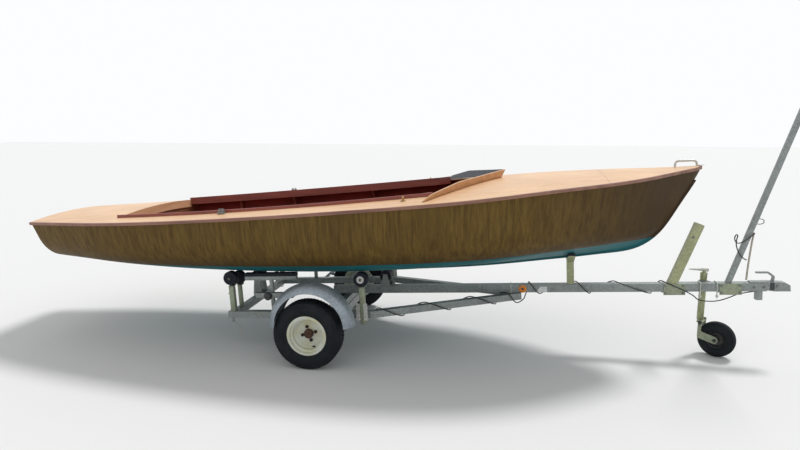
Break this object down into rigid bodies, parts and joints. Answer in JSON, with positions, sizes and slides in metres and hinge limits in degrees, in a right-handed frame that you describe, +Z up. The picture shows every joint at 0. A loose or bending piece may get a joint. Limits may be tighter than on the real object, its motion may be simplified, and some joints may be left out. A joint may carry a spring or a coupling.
{
  "type": "sailing dinghy on road trailer",
  "caption": "Decked round-bilge wooden sailing dinghy hull with an open cockpit, on a galvanised single-axle road trailer with jockey wheel, roller supports and mast crutch",
  "frame": {"origin": "on the floor under the middle of the overall length", "axes": "+X to the bow and coupling, +Y to port, +Z up from the floor"},
  "size_m": [5.8606, 1.7046, 2.2655],
  "materials": {
    "varnished_planking": "varnished veneer, worn",
    "varnished_deck": "varnished plywood, matt with age",
    "dark_timber": "dark red-brown varnish",
    "rail_timber": "worn varnish",
    "galvanised_steel": "hot-dip galvanised, dull",
    "stainless_steel": "polished",
    "moulded_black": "matt",
    "rubber": "matt",
    "wheel_paint": "worn pale paint",
    "hub_iron": "rusty",
    "tyre_rubber": "matt",
    "amber": "gloss"
  },
  "bodies": {
    "root": {"aft_coaming": "dark_timber", "aft_deck": "varnished_deck", "axle_beam": "galvanised_steel", "bow_handle": "stainless_steel", "bow_keel_support": "galvanised_steel", "bow_post": "galvanised_steel", "bow_support_pads": "rubber", "bulkheads": "dark_timber", "bunk_pads": "rubber", "centreboard_case": "dark_timber", "clamp_plates": "galvanised_steel", "coamings": "dark_timber", "cockpit_sole": "rail_timber", "coupling": "galvanised_steel", "crossmembers": "galvanised_steel", "deck_fittings": "moulded_black", "drawbar": "galvanised_steel", "foredeck": "varnished_deck", "frame_beam_port": "galvanised_steel", "frame_beam_starboard": "galvanised_steel", "hull_frames": "dark_timber", "hull_rollers": "rubber", "hull_shell": "varnished_planking", "jockey_clamp": "galvanised_steel", "jockey_tube": "galvanised_steel", "keel_roller_brackets": "galvanised_steel", "keel_rollers": "rubber", "keel_strip": "rail_timber", "mast_crutch": "galvanised_steel", "mast_pole": "galvanised_steel", "mast_step": "dark_timber", "mudguard_port": "galvanised_steel", "mudguard_starboard": "galvanised_steel", "mudguard_stays": "galvanised_steel", "rub_rails": "rail_timber", "rudder_gudgeons": "stainless_steel", "side_decks": "varnished_deck", "side_reflectors": "amber", "slot_gasket": "rubber", "splash_boards": "varnished_deck", "stem_head_plate": "stainless_steel", "support_posts": "galvanised_steel", "suspension_arm_port": "galvanised_steel", "suspension_arm_starboard": "galvanised_steel", "thwart": "dark_timber", "transom": "varnished_planking"},
    "wheel_starboard": {"wheel_hub_starboard": "hub_iron", "wheel_rim_starboard": "wheel_paint", "wheel_tyre_starboard": "tyre_rubber"},
    "wheel_port": {"wheel_hub_port": "hub_iron", "wheel_rim_port": "wheel_paint", "wheel_tyre_port": "tyre_rubber"},
    "jockey_swivel": {"jockey_fork": "galvanised_steel"},
    "jockey_wheel": {"jockey_rim": "wheel_paint", "jockey_tyre": "tyre_rubber"}
  },
  "joints": [
    {"name": "wheel_starboard_spin", "type": "hinge", "parent": "root", "child": "wheel_starboard", "pos_m": [-0.53552, -0.739, 0.245], "axis": [0, 1, 0], "continuous": true},
    {"name": "wheel_port_spin", "type": "hinge", "parent": "root", "child": "wheel_port", "pos_m": [-0.53552, 0.739, 0.245], "axis": [0, 1, 0], "continuous": true},
    {"name": "jockey_swivel_turn", "type": "hinge", "parent": "root", "child": "jockey_swivel", "pos_m": [2.24561, 0.068, 0.4], "axis": [0, 0, 1], "continuous": true},
    {"name": "jockey_wheel_spin", "type": "hinge", "parent": "jockey_swivel", "child": "jockey_wheel", "pos_m": [2.34961, 0.00047, 0.13], "axis": [0.5446, 0.8387, 0], "continuous": true}
  ]
}
